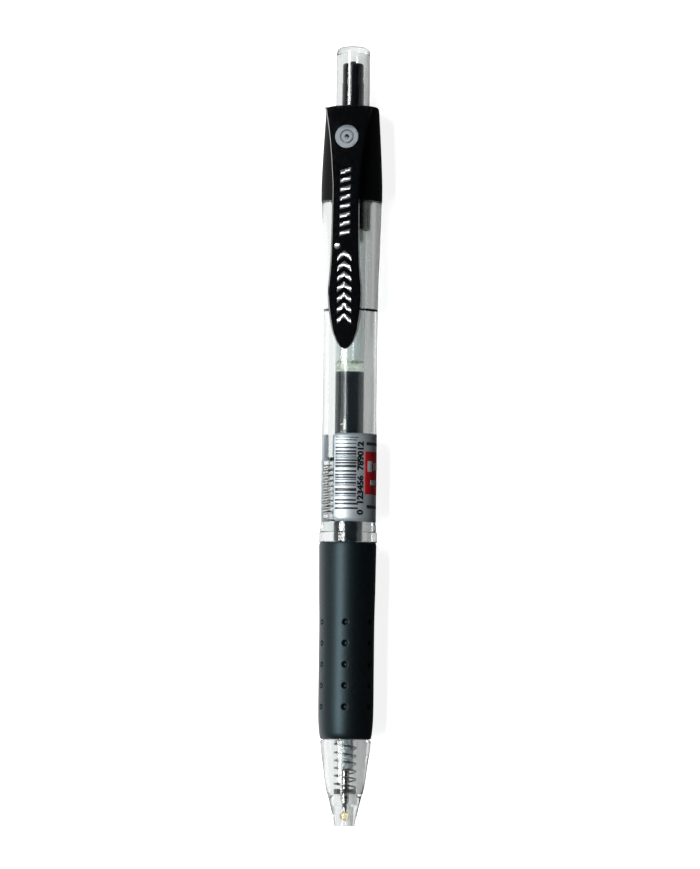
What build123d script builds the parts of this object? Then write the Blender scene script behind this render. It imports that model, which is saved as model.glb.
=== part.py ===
from build123d import *
import math
import os

# Retractable gel pen. Millimetres. Every piece is drawn upright, on the Z axis, with the nose's end face at
# height 0 and the pocket clip on the -Y side. LYING_DOWN then lays the whole pen on its back: the origin is
# the centre of the nose's end face, +X runs along the axis to the push button, and the clip is on top, on +Z.

# Lengths along the axis
PEN_LENGTH = 143.0
NOSE_SHELF_Z = 5.94
GRIP_BOTTOM_Z = 15.8
GRIP_TOP_Z = 51.7
RING_TOP_Z = 53.6
PILOT_TOP_Z = 55.4
THREAD_START_Z = 56.2
THREAD_TURNS = 10
THREAD_PITCH = 1.0
SPIGOT_END_Z = THREAD_START_Z + THREAD_TURNS * THREAD_PITCH + 0.3
LABEL_BOTTOM_Z = 55.5
LABEL_TOP_Z = 71.6
BARREL_STEP_Z = 94.2
BARREL_SHOULDER_Z = 114.25
BARREL_END_Z = 129.0
COLLAR_BOTTOM_Z = 114.3
COLLAR_LIP_Z = 130.4
COLLAR_TOP_Z = 131.8
CLIP_TIP_Z = 86.9
CLIP_TOP_Z = 131.3
SLEEVE_BOTTOM_Z = 109.2
RIB_BOTTOM_Z = 112.5
RIB_TOP_Z = 123.0
SLEEVE_TOP_Z = 130.1

# The knock mechanism
BUTTON_BOTTOM_Z = 129.4
CORE_TOP_Z = 139.9
TOOTH_COUNT = 8
TOOTH_HEIGHT = 0.8
PLUNGER_TEETH_Z = 119.1
ROTOR_TEETH_Z = 119.0
ROTOR_BOTTOM_Z = 110.5
FIN_COUNT = 4
FIN_SPAN_DEG = 14.0
RIB_SPAN_DEG = 25.0
ROTOR_TURN_DEG = 45.0

# The refill
BALL_RADIUS = 0.25
BALL_Z = 2.69
TIP_END_Z = 2.55
SEAL_R = 0.87
SEAL_Z = 2.05
CHANNEL_TOP_Z = 13.2
HOLDER_BOTTOM_Z = 10.3
HOLDER_FLANGE_Z = 29.05
TUBE_BOTTOM_Z = 31.0
PLUG_TOP_Z = 36.0
INK_TOP_Z = 83.0
FOLLOWER_TOP_Z = 85.0
TUBE_TOP_Z = 110.0
TAIL_TOP_Z = 110.45

# Radii
EXIT_BORE_R = 1.15
HOLDER_BORE_R = 1.6
SPRING_BORE_R = 2.35
REFILL_BORE_R = 2.9
GRIP_SEAT_R = 4.1
RING_R = 5.33
THREAD_ROOT_R = 3.7
THREAD_CREST_R = 3.95
PILOT_R = 4.55
BARREL_BORE_R = 3.05
SLEEVE_BORE_R = 3.87
SPIGOT_R = 4.6
SKIRT_R = 5.12
COLLAR_R = 5.6
VENT_R = 0.4
TUBE_R = 2.63
TUBE_BORE_R = 2.3
HOLDER_R = 1.45
HOLDER_FLANGE_R = 2.5
HOLDER_CHANNEL_R = 0.5
TIP_R = 0.79
TIP_LIP_R = 0.3
TIP_STEM_R = 0.6
TIP_CHANNEL_R = 0.15
BUTTON_R = 3.05
BUTTON_BORE_R = 2.6
BUTTON_FLANGE_R = 3.3
CORE_R = 1.9
CAM_R = 2.35
FIN_R = 2.95
FIN_ROOT_R = 2.15
RIB_INNER_R = 2.5

# Clearances
FIT = 0.02
RUNNING = 0.08
CLIP_GAP = 0.1
SAME_POINT = 1e-6

# Return spring
SPRING_R = 1.95
SPRING_WIRE_R = 0.15
SPRING_PITCH = 1.41

# Grip dimples; the first column stands a little to the +X side of the clip
DIMPLE_R = 0.6
DIMPLE_DEPTH = 0.35
DIMPLE_COLUMNS = 6
DIMPLE_ROWS = 5
DIMPLE_FIRST_Z = 21.7
DIMPLE_STEP_Z = 3.86
DIMPLE_TURN_DEG = 6.5

# The label's film, as angles from the clip's side, positive towards +X
LABEL_START_DEG = -24.5
LABEL_END_DEG = 270.0
LABEL_R = 5.0
LABEL_THICKNESS = 0.08

LYING_DOWN = Plane(origin=(0, 0, 0), x_dir=(0, -1, 0), z_dir=(1, 0, 0)).location


def straight(*points):
    """Outline of straight runs through (radius, height) points."""
    return Polyline(*points)


def smooth(*points):
    """Outline of one smooth curve through (radius, height) points."""
    return Spline(*points)


def turned(outer, inner):
    """Solid of revolution between an outer and an inner outline, each drawn from bottom to top."""
    section = outer + inner
    for end in (0, 1):
        if (outer @ end - inner @ end).length > SAME_POINT:
            section += Line(outer @ end, inner @ end)
    return revolve(Plane.XZ * make_face(section), Axis.Z)


def solid_turned(outer):
    """Solid of revolution inside an outer outline drawn from bottom to top."""
    return turned(outer, Line((0, (outer @ 0).Y), (0, (outer @ 1).Y)))


def tube(outer_r, inner_r, low, high):
    """Plain ring or tube between two heights."""
    return turned(straight((outer_r, low), (outer_r, high)), straight((inner_r, low), (inner_r, high)))


def rod(radius, low, high):
    """Plain cylinder between two heights."""
    return Pos(0, 0, low) * Cylinder(radius, high - low, align=(Align.CENTER, Align.CENTER, Align.MIN))


def sector(outer_r, inner_r, low, high, middle_deg, span_deg):
    """Piece of a ring that spans an angle about a middle direction."""
    corners = [(inner_r, low), (outer_r, low), (outer_r, high), (inner_r, high)]
    profile = Plane.XZ * make_face(Polyline(*corners, close=True))
    return Rot(0, 0, middle_deg - span_deg / 2) * revolve(profile, Axis.Z, span_deg)


def thread_outline(extra, high):
    """Zigzag of thread ridges, drawn as rings and moved outwards by extra, with a straight run up to high."""
    root = THREAD_ROOT_R + extra
    crest = THREAD_CREST_R + extra
    points = [(root, THREAD_START_Z)]
    for turn in range(THREAD_TURNS):
        start = THREAD_START_Z + turn * THREAD_PITCH
        points.append((crest, start + THREAD_PITCH / 2))
        points.append((root, start + THREAD_PITCH))
    return [*points, (root, high)]


def crown_teeth(body, tips_z, valley_direction):
    """Cut V notches into the end face of a body, so that a crown of teeth is left."""
    valley_share = 0.85
    half_width = math.pi * CAM_R / TOOTH_COUNT * valley_share
    depth = TOOTH_HEIGHT * valley_direction
    notch = Polyline((-half_width, tips_z), (half_width, tips_z), (0, tips_z + depth), close=True)
    cutter = extrude(Plane.XZ * make_face(notch), FIN_R)
    for tooth in range(TOOTH_COUNT):
        body -= Rot(0, 0, tooth * 360 / TOOTH_COUNT) * cutter
    return body


# ---------------------------------------------------------------- front section


def front_section():
    """Clear nose, grip core, ring and threaded spigot in one moulding."""
    nose = [(1.87, 0), (1.92, 0.66), (2.64, 3.75), (3.15, 5.8), (3.28, 6.0), (3.66, 7.8)]
    nose += [(4.05, 11.0), (4.5, 13.9), (4.62, 15.4), (4.5, GRIP_BOTTOM_Z - 0.15)]
    seat = [(GRIP_SEAT_R, GRIP_BOTTOM_Z - 0.15), (GRIP_SEAT_R, GRIP_TOP_Z + 0.05)]
    ring = [(RING_R - 0.08, GRIP_TOP_Z + 0.05), (RING_R, GRIP_TOP_Z + 0.5)]
    ring += [(RING_R, RING_TOP_Z - 0.5), (RING_R - 0.08, RING_TOP_Z)]
    pilot = [(PILOT_R, RING_TOP_Z), (PILOT_R, PILOT_TOP_Z)]
    spigot = thread_outline(0, SPIGOT_END_Z)
    bore = [(EXIT_BORE_R, 0), (EXIT_BORE_R, 3.6), (HOLDER_BORE_R, 4.1), (HOLDER_BORE_R, NOSE_SHELF_Z)]
    bore += [(SPRING_BORE_R, NOSE_SHELF_Z), (REFILL_BORE_R, 22.0), (REFILL_BORE_R, SPIGOT_END_Z)]
    return turned(straight(*nose, *seat, *ring, *pilot, *spigot), straight(*bore))


def grip_sleeve():
    """Rubber grip with rows of round dimples."""
    inner_r, waist_r = GRIP_SEAT_R + FIT, 5.05
    foot = straight((4.4, GRIP_BOTTOM_Z), (4.7, GRIP_BOTTOM_Z + 0.25))
    wall = smooth(foot @ 1, (4.88, 17.4), (waist_r, 20.5), (waist_r, 37.0), (5.15, 42.5), (5.25, 51.2))
    rim = straight(wall @ 1, (5.15, GRIP_TOP_Z))
    sleeve = turned(foot + wall + rim, straight((inner_r, GRIP_BOTTOM_Z), (inner_r, GRIP_TOP_Z)))
    cutter = extrude(Plane.XZ.offset(waist_r - DIMPLE_DEPTH) * Circle(DIMPLE_R), 1.0)
    for column in range(DIMPLE_COLUMNS):
        for row in range(DIMPLE_ROWS):
            place = Pos(0, 0, DIMPLE_FIRST_Z + row * DIMPLE_STEP_Z)
            angle = DIMPLE_TURN_DEG + column * 360 / DIMPLE_COLUMNS
            sleeve -= Rot(0, 0, angle) * place * cutter
    return sleeve


# ---------------------------------------------------------------- barrel, collar and clip


def barrel():
    """Clear tube that carries the label, screwed on the front section and set into the collar."""
    skirt = straight((SKIRT_R, RING_TOP_Z + FIT), (SKIRT_R, 54.8), (LABEL_R, 55.2), (LABEL_R, 72.2))
    waist = smooth(skirt @ 1, (4.97, 76), (4.97, 90), (5.08, 100), (5.25, 105), (5.5, BARREL_SHOULDER_Z))
    spigot_r = SPIGOT_R - FIT
    spigot = straight(waist @ 1, (spigot_r, BARREL_SHOULDER_Z), (spigot_r, BARREL_END_Z))
    pilot_r = PILOT_R + RUNNING
    socket = [(pilot_r, RING_TOP_Z + FIT), (pilot_r, PILOT_TOP_Z + RUNNING)]
    socket += thread_outline(RUNNING, SPIGOT_END_Z + RUNNING)
    bore = [(BARREL_BORE_R, SPIGOT_END_Z + 0.7), (BARREL_BORE_R, BARREL_STEP_Z)]
    bore += [(SLEEVE_BORE_R, BARREL_STEP_Z + 0.3), (SLEEVE_BORE_R, BARREL_END_Z)]
    return turned(skirt + waist + spigot, straight(*socket, *bore))


def collar_curve(extra, low, high):
    """Tapering outside of the collar between two heights, moved outwards by extra."""
    heights = [low, *[z for z in (118.0, 122.5, 127.0) if low < z < high], high]
    return smooth(*[(collar_radius(z) + extra, z) for z in heights])


def collar_radius(z):
    """Outside radius of the collar: straight at its skirt, then a gentle taper to its top."""
    skirt_z, top_z, taper, roundness = 117.0, 131.0, 0.72, 1.25
    share = max(0.0, z - skirt_z) / (top_z - skirt_z)
    return COLLAR_R - taper * share**roundness


def clip_collar():
    """Glossy cap that holds the barrel's end, the cam guide and the clip."""
    side = collar_curve(0, COLLAR_BOTTOM_Z, 131.1)
    shoulder = ThreePointArc(side @ 1, (4.66, 131.6), (4.2, COLLAR_TOP_Z))
    hole_r = BUTTON_R + 0.1
    top = straight(shoulder @ 1, (hole_r + 0.15, COLLAR_TOP_Z))
    bore = straight((SPIGOT_R, COLLAR_BOTTOM_Z), (SPIGOT_R, COLLAR_LIP_Z), (hole_r, COLLAR_LIP_Z),
                    (hole_r, COLLAR_TOP_Z - 0.15))
    return turned(side + shoulder + top, bore) - clip_peg(CLIP_GAP)


def clip_peg(extra):
    """Peg on the clip's back that locates it in the collar, or with extra its recess."""
    width, height, reach, back_y, middle_z = 2.4, 1.6, 1.2, -5.15, 119.6
    size = (width + 2 * extra, reach + extra, height + 2 * extra)
    peg = Box(*size, align=(Align.CENTER, Align.MAX, Align.CENTER))
    return Pos(0, back_y + extra, middle_z) * peg


def clip_front_outline():
    """The clip seen from the front: wide head, waist, leaf-shaped blade and round tip."""
    blade = [(1.2, CLIP_TIP_Z + 0.5), (2.37, 90.9), (3.05, 96.6), (2.6, 103.4), (2.45, 114.5)]
    right = smooth(*blade, (2.6, 119.1), (3.12, 125.4), (4.0, CLIP_TOP_Z))
    left = mirror(right, Plane.YZ)
    tip = ThreePointArc(right @ 0, (0, CLIP_TIP_Z), left @ 0)
    top = Line(right @ 1, left @ 1)
    return make_face(right + left + tip + top)


def clip_outer():
    """The clip's outside, as distance from the pen's axis against height."""
    blade = [(5.9, CLIP_TIP_Z), (6.85, 90), (7.3, 97), (7.4, 106), (7.25, 114)]
    return smooth(*blade, (6.75, 121.5), (6.2, 127), (5.55, CLIP_TOP_Z))


def pocket_clip():
    """Sprung clip whose head wraps the collar and whose tip bears on the barrel."""
    head_z, peg_r, past_the_clip = 119.0, 6.2, 10
    foot = straight((5.7, CLIP_TIP_Z), (5.2, 91.2), (5.2, 92.6))
    under = smooth(foot @ 1, (5.75, 96), (6.15, 102), (6.2, 110), (5.95, 116), (5.73, head_z))
    head = collar_curve(CLIP_GAP, head_z, CLIP_TOP_Z)
    joining = Line(under @ 1, head @ 0)
    shell = turned(clip_outer(), foot + under + joining + head)
    prism = extrude(Plane.XZ * clip_front_outline(), past_the_clip)
    return (shell & prism) + (clip_peg(0) & rod(peg_r, CLIP_TIP_Z, CLIP_TOP_Z))


def size_disc():
    """Thin round foil disc on the head of the clip."""
    disc_r, disc_z, thickness, margin, steps = 2.15, 125.8, 0.08, 1.7, 40
    outer = clip_outer()
    edge = [outer.position_at(step / steps) for step in range(steps + 1)]
    run = [(p.X + FIT, p.Y) for p in edge if abs(p.Y - disc_z) < disc_r + margin]
    back = smooth(*run)
    face = smooth(*[(r + thickness, z) for r, z in run])
    puck = extrude(Plane.XZ * Pos(0, disc_z, 0) * Circle(disc_r), COLLAR_R * 2)
    return turned(face, back) & puck


def barcode_label():
    """Film label that wraps most of the way round the barrel."""
    clip_deg = 270
    middle = clip_deg + (LABEL_START_DEG + LABEL_END_DEG) / 2
    span = LABEL_END_DEG - LABEL_START_DEG
    inner_r = LABEL_R + FIT
    return sector(inner_r + LABEL_THICKNESS, inner_r, LABEL_BOTTOM_Z, LABEL_TOP_Z, middle, span)


# ---------------------------------------------------------------- knock mechanism


def cam_guide():
    """Black sleeve in the barrel's end, with guide ribs for the plunger and the rotor."""
    skirt_r, skirt_top_z, flange_r, flange_z = 3.5, 116.0, 4.55, BARREL_END_Z + FIT
    seat_r = SLEEVE_BORE_R - FIT
    guide_r, button_r, overlap = FIN_R + 0.1, BUTTON_FLANGE_R + 0.1, 0.1
    outside = [(skirt_r, SLEEVE_BOTTOM_Z), (skirt_r, skirt_top_z), (seat_r, skirt_top_z)]
    outside += [(seat_r, flange_z), (flange_r, flange_z), (flange_r, SLEEVE_TOP_Z)]
    inside = [(guide_r, SLEEVE_BOTTOM_Z), (guide_r, RIB_TOP_Z)]
    inside += [(button_r, RIB_TOP_Z), (button_r, SLEEVE_TOP_Z)]
    sleeve = turned(straight(*outside), straight(*inside))
    for rib in range(FIN_COUNT):
        angle = rib * 360 / FIN_COUNT
        sleeve += sector(guide_r + overlap, RIB_INNER_R, RIB_BOTTOM_Z, RIB_TOP_Z, angle, RIB_SPAN_DEG)
    return sleeve


def knock_button():
    """Clear hollow cap with a foot that keeps it inside the collar."""
    flange_z, wall_top_z, ceiling_z = BUTTON_BOTTOM_Z + 0.8, PEN_LENGTH - 1.05, PEN_LENGTH - 1.3
    foot = [(BUTTON_FLANGE_R, BUTTON_BOTTOM_Z), (BUTTON_FLANGE_R, flange_z)]
    skirt = straight(*foot, (BUTTON_R, flange_z), (BUTTON_R, wall_top_z))
    shoulder = ThreePointArc(skirt @ 1, (2.72, PEN_LENGTH - 0.42), (1.9, PEN_LENGTH - 0.1))
    crown = straight(shoulder @ 1, (1.0, PEN_LENGTH), (0, PEN_LENGTH))
    return solid_turned(skirt + shoulder + crown) - rod(BUTTON_BORE_R, BUTTON_BOTTOM_Z, ceiling_z)


def knock_plunger():
    """Black stem that fills the button, with guide fins and a toothed end."""
    disc_r, disc_low_z, disc_high_z = BUTTON_BORE_R - FIT, BUTTON_BOTTOM_Z + 0.2, BUTTON_BOTTOM_Z + 1.8
    shank_r, shank_top_z, nub_z, bore_r = CORE_R + 0.08, 136.2, CORE_TOP_Z + 0.4, 1.2
    low = [(CAM_R, PLUNGER_TEETH_Z), (CAM_R, disc_low_z), (disc_r, disc_low_z), (disc_r, disc_high_z)]
    low += [(shank_r, disc_high_z), (shank_r, shank_top_z), (CORE_R, shank_top_z + 0.1)]
    side = straight(*low, (CORE_R, CORE_TOP_Z - 0.35))
    edge = ThreePointArc(side @ 1, (CORE_R - 0.12, CORE_TOP_Z - 0.11), (CORE_R - 0.4, CORE_TOP_Z))
    nub = straight(edge @ 1, (0.55, CORE_TOP_Z), (0.5, nub_z), (0, nub_z))
    stem = solid_turned(side + edge + nub) - rod(bore_r, PLUNGER_TEETH_Z, BUTTON_BOTTOM_Z)
    stem = crown_teeth(stem, PLUNGER_TEETH_Z, 1)
    fin_low_z, fin_high_z = PLUNGER_TEETH_Z + 1.2, RIB_TOP_Z - 0.5
    for fin in range(FIN_COUNT):
        angle = (fin + 0.5) * 360 / FIN_COUNT
        stem += sector(FIN_R, FIN_ROOT_R, fin_low_z, fin_high_z, angle, FIN_SPAN_DEG)
    return stem


def index_rotor():
    """Rotating cam: toothed end towards the plunger, fins that ride in the guide."""
    bore_r, fin_low_z, fin_high_z = 0.9, 114.5, ROTOR_TEETH_Z - 1.0
    body = tube(CAM_R, bore_r, ROTOR_BOTTOM_Z, ROTOR_TEETH_Z)
    body = crown_teeth(body, ROTOR_TEETH_Z, -1)
    gap_deg = 360 / FIN_COUNT - RIB_SPAN_DEG
    start = RIB_SPAN_DEG / 2 + (gap_deg - ROTOR_TURN_DEG - FIN_SPAN_DEG) / 2
    for fin in range(FIN_COUNT):
        angle = fin * 360 / FIN_COUNT + start + FIN_SPAN_DEG / 2
        body += sector(FIN_R, FIN_ROOT_R, fin_low_z, fin_high_z, angle, FIN_SPAN_DEG)
    return body


# ---------------------------------------------------------------- refill and spring


def refill_tube():
    """Translucent ink tube."""
    return tube(TUBE_R, TUBE_BORE_R, TUBE_BOTTOM_Z, TUBE_TOP_Z)


def ink_column():
    """The ink in the tube."""
    return rod(TUBE_BORE_R - FIT, PLUG_TOP_Z + FIT, INK_TOP_Z)


def ink_follower():
    """Clear grease that follows the ink down, with a dished top."""
    radius = TUBE_BORE_R - FIT
    side = straight((radius, INK_TOP_Z + FIT), (radius, FOLLOWER_TOP_Z))
    floor_z = FOLLOWER_TOP_Z - 0.6
    dish = ThreePointArc(side @ 1, (radius * 0.6, FOLLOWER_TOP_Z - 0.45), (radius * 0.3, floor_z))
    return solid_turned(side + dish + straight(dish @ 1, (0, floor_z)))


def tail_plug():
    """Vented stopper in the rear of the refill."""
    bottom_z, head_z = TUBE_TOP_Z - 3, TUBE_TOP_Z + FIT
    body = rod(TUBE_BORE_R - FIT, bottom_z, head_z) + rod(TUBE_R, head_z, TAIL_TOP_Z)
    return body - rod(VENT_R, bottom_z, TAIL_TOP_Z)


def tip_holder():
    """Grey adapter between the metal tip and the ink tube; its flange takes the spring."""
    rim_z, seat_z = TUBE_BOTTOM_Z - FIT, CHANNEL_TOP_Z + 0.1
    seat_r, plug_r = TIP_STEM_R + FIT, TUBE_BORE_R - FIT
    outside = [(1.2, HOLDER_BOTTOM_Z), (HOLDER_R, HOLDER_BOTTOM_Z + 0.25), (HOLDER_R, HOLDER_FLANGE_Z)]
    outside += [(HOLDER_FLANGE_R, HOLDER_FLANGE_Z), (HOLDER_FLANGE_R, rim_z)]
    outside += [(plug_r, rim_z), (plug_r, PLUG_TOP_Z)]
    channel = [(seat_r, HOLDER_BOTTOM_Z), (seat_r, seat_z)]
    channel += [(HOLDER_CHANNEL_R, seat_z), (HOLDER_CHANNEL_R, PLUG_TOP_Z)]
    return turned(straight(*outside), straight(*channel))


def tip_cone(extra):
    """Outside of the metal tip, moved outwards by extra."""
    lip_r, shank_r, cone_top_z = TIP_LIP_R + extra, TIP_R + extra, 5.0
    return straight((lip_r, TIP_END_Z - extra), (shank_r, cone_top_z), (shank_r, HOLDER_BOTTOM_Z - FIT))


def writing_tip():
    """Metal point with a ball socket and an ink channel."""
    point = solid_turned(tip_cone(0)) + rod(TIP_STEM_R, HOLDER_BOTTOM_Z - FIT, CHANNEL_TOP_Z)
    point -= rod(TIP_CHANNEL_R, BALL_Z, CHANNEL_TOP_Z)
    return point - Pos(0, 0, BALL_Z) * Sphere(BALL_RADIUS + FIT)


def writing_ball():
    """Ball that rolls in the tip."""
    return Pos(0, 0, BALL_Z) * Sphere(BALL_RADIUS)


def tip_seal():
    """Amber bead that seals a new refill's tip."""
    bead = Pos(0, 0, SEAL_Z) * Sphere(SEAL_R)
    return bead - solid_turned(tip_cone(FIT)) - Pos(0, 0, BALL_Z) * Sphere(BALL_RADIUS + FIT)


def coil(low, pitch, turns):
    """Left-handed run of spring wire that starts at height low."""
    path = Pos(0, 0, low) * Helix(pitch, pitch * turns, SPRING_R, lefthand=True)
    section = Plane(path @ 0, z_dir=path % 0) * Circle(SPRING_WIRE_R)
    return sweep(section, path, is_frenet=True)


def return_spring():
    """Spring from the shelf in the nose to the flange of the tip holder."""
    low = NOSE_SHELF_Z + SPRING_WIRE_R + FIT
    high = HOLDER_FLANGE_Z - SPRING_WIRE_R - FIT
    turns = (high - low) / SPRING_PITCH
    return coil(low, SPRING_PITCH, turns)


PARTS = {
    "front_section": front_section,
    "grip_sleeve": grip_sleeve,
    "barrel": barrel,
    "clip_collar": clip_collar,
    "pocket_clip": pocket_clip,
    "size_disc": size_disc,
    "barcode_label": barcode_label,
    "cam_guide": cam_guide,
    "knock_button": knock_button,
    "knock_plunger": knock_plunger,
    "index_rotor": index_rotor,
    "refill_tube": refill_tube,
    "ink_column": ink_column,
    "ink_follower": ink_follower,
    "tail_plug": tail_plug,
    "tip_holder": tip_holder,
    "writing_tip": writing_tip,
    "writing_ball": writing_ball,
    "tip_seal": tip_seal,
    "return_spring": return_spring,
}

os.makedirs("parts", exist_ok=True)
for name, make in PARTS.items():
    export_step(LYING_DOWN * make(), f"parts/{name}.step")
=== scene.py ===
import math
import random

import bmesh
import bpy
from mathutils import Matrix, Vector


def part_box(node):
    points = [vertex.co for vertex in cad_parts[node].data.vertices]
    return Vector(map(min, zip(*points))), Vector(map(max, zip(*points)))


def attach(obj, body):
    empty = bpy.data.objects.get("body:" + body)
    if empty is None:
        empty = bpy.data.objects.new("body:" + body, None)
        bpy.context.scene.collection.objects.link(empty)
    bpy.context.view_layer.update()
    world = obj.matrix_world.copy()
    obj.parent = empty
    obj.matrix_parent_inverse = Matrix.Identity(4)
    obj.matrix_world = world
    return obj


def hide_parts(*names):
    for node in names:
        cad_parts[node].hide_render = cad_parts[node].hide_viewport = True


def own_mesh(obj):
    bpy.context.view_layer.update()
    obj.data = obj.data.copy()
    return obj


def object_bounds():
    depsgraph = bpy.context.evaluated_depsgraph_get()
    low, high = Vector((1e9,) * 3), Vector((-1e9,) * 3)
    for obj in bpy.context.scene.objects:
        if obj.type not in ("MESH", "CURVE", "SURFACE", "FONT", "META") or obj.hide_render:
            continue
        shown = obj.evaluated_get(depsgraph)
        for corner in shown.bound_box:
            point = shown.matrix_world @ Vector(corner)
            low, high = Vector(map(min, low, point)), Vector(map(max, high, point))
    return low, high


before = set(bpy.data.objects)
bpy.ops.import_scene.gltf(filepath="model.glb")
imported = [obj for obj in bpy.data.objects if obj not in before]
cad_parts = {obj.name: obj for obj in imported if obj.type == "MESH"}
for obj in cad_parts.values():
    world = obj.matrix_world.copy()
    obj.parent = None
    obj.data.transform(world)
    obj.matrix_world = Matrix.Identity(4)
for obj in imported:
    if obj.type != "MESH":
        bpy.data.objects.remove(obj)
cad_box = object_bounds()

# Gel pen lying on its back. The pen's axis is the X axis, the nose ends at X = 0 and the clip is on top (+Z).
# A station is a distance from the nose end along the axis, and a turn is an angle about the axis from the
# clip's side towards -Y. Stations and radii are in millimetres, and spot() turns them into metres.

MM = 0.001
FULL_TURN = math.tau


def end_stations(node):
    """First and last station of a CAD node, in millimetres."""
    low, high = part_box(node)
    return low[0] / MM, high[0] / MM


def widest(node):
    """Largest radius of a round CAD node, in millimetres."""
    low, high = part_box(node)
    return (high[1] - low[1]) / 2 / MM


PEN_LENGTH = end_stations("knock_button")[1]
GRIP_START, GRIP_END = end_stations("grip_sleeve")
SPIGOT_END = end_stations("front_section")[1]
BARREL_START, BARREL_END = end_stations("barrel")
COLLAR_START, COLLAR_END = end_stations("clip_collar")
CLIP_TIP, CLIP_TOP = end_stations("pocket_clip")
LABEL_START, LABEL_END = end_stations("barcode_label")
BUTTON_START = end_stations("knock_button")[0]
TUBE_START, TUBE_END = end_stations("refill_tube")
INK_START, INK_END = end_stations("ink_column")
FOLLOWER_END = end_stations("ink_follower")[1]
HOLDER_START, HOLDER_END = end_stations("tip_holder")
TIP_START, TIP_STEM_END = end_stations("writing_tip")
SPRING_START, SPRING_END = end_stations("return_spring")
BALL_STATION = sum(end_stations("writing_ball")) / 2
BALL_R = widest("writing_ball")
DISC_STATION = sum(end_stations("size_disc")) / 2
DISC_R = widest("size_disc")
RING_R = widest("front_section")
TUBE_R = widest("refill_tube")
COLLAR_R = 5.6
LABEL_R = widest("barcode_label")

# Screw thread between the front section and the barrel
THREAD_START = 56.2
THREAD_TURNS = 10
THREAD_PITCH = 1.0
THREAD_ROOT_R = 3.7
THREAD_DEPTH = 0.25
THREAD_PLAY = 0.08

# Grip dimples
DIMPLE_R = 0.6
DIMPLE_DEPTH = 0.44
DIMPLE_COLUMNS = 6
DIMPLE_STATIONS = [21.7 + 3.86 * row for row in range(5)]
DIMPLE_FIRST_TURN = math.radians(6.5)

# Label, as turns from the clip's side. The whole label and its print are then turned by LABEL_SLIP.
LABEL_TURNS = (math.radians(-24.5), math.radians(270.0))
LABEL_CORNER_R = 0.9
LABEL_SLIP = math.radians(2.5)

# The ink and grease reach this far out, so that they wet the tube's bore
WET_R = 2.31

SEGMENTS = 192


# ---------------------------------------------------------------- mesh helpers


def spot(radius, station, turn):
    """Point in metres at a radius and station, turned from the clip's side towards -Y."""
    return Vector((station, -radius * math.sin(turn), radius * math.cos(turn))) * MM


def smooth_curve(points, steps=8):
    """Catmull-Rom curve through (radius, station) points, with steps points in each span."""
    places = [Vector(point) for point in points]
    ends = [places[0] * 2 - places[1], *places, places[-1] * 2 - places[-2]]
    curve = []
    for before, start, end, after in zip(ends, ends[1:], ends[2:], ends[3:]):
        for step in range(steps):
            t = step / steps
            bend = (end - before) * t + (before * 2 - start * 5 + end * 4 - after) * t**2
            bend += (start * 3 - before - end * 3 + after) * t**3
            curve.append(tuple(start + bend / 2))
    return [*curve, tuple(places[-1])]


def rounded(points, fillet, closed=True, steps=4):
    """Outline with each corner rounded. A point may carry its own fillet as a third value; 0 leaves it sharp."""
    outline = []
    last = len(points) - 1
    for index, point in enumerate(points):
        corner = Vector(point[:2])
        size = point[2] if len(point) > 2 else fillet
        if size == 0 or (not closed and index in (0, last)):
            outline.append(tuple(corner))
            continue
        before = Vector(points[index - 1][:2]) - corner
        after = Vector(points[(index + 1) % len(points)][:2]) - corner
        reach = min(size, before.length * 0.45, after.length * 0.45)
        start, end = before.normalized() * reach, after.normalized() * reach
        for step in range(steps + 1):
            t = step / steps
            outline.append(tuple(corner + start * (1 - t) ** 2 + end * t**2))
    return outline


def sharp(points):
    """Points of a smooth stretch, which rounded() leaves alone."""
    return [(radius, station, 0) for radius, station in points]


def even_turns(count=SEGMENTS):
    """Turns spread evenly round the axis."""
    return [FULL_TURN * step / count for step in range(count)]


def piece(name, mesh, body, nodes, material):
    """Object made from a bmesh that rides on a body and stands for CAD nodes."""
    data = bpy.data.meshes.new(name)
    bmesh.ops.recalc_face_normals(mesh, faces=mesh.faces)
    mesh.to_mesh(data)
    mesh.free()
    data.polygons.foreach_set("use_smooth", [True] * len(data.polygons))
    data.materials.append(material)
    made = bpy.data.objects.new(name, data)
    bpy.context.scene.collection.objects.link(made)
    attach(made, body)
    if nodes:
        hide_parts(*nodes)
    return made


def keep_edges_crisp(made, angle_deg=40):
    """Flat faces stay flat beside their fillets, and steps sharper than the angle stay sharp."""
    split = made.modifiers.new("split", "EDGE_SPLIT")
    split.split_angle = math.radians(angle_deg)
    weigh = made.modifiers.new("weigh", "WEIGHTED_NORMAL")
    weigh.keep_sharp = True
    return made


def turned(outline, turns=None, shape=None, closed=True):
    """Mesh of revolution of an outline. Points on the axis become poles; shape may change each radius."""
    turns = turns or even_turns()
    mesh = bmesh.new()
    rings = []
    for radius, station in outline:
        if radius < 1e-6:
            rings.append([mesh.verts.new(spot(0, station, 0))] * len(turns))
            continue
        radii = [shape(radius, station, turn) if shape else radius for turn in turns]
        rings.append([mesh.verts.new(spot(r, station, turn)) for r, turn in zip(radii, turns)])
    pairs = list(zip(rings, rings[1:]))
    if closed:
        pairs.append((rings[-1], rings[0]))
    for low, high in pairs:
        for index in range(len(turns)):
            following = (index + 1) % len(turns)
            corners = [low[index], low[following], high[following], high[index]]
            unique = list(dict.fromkeys(corners))
            if len(unique) > 2:
                mesh.faces.new(unique)
    return mesh


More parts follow.
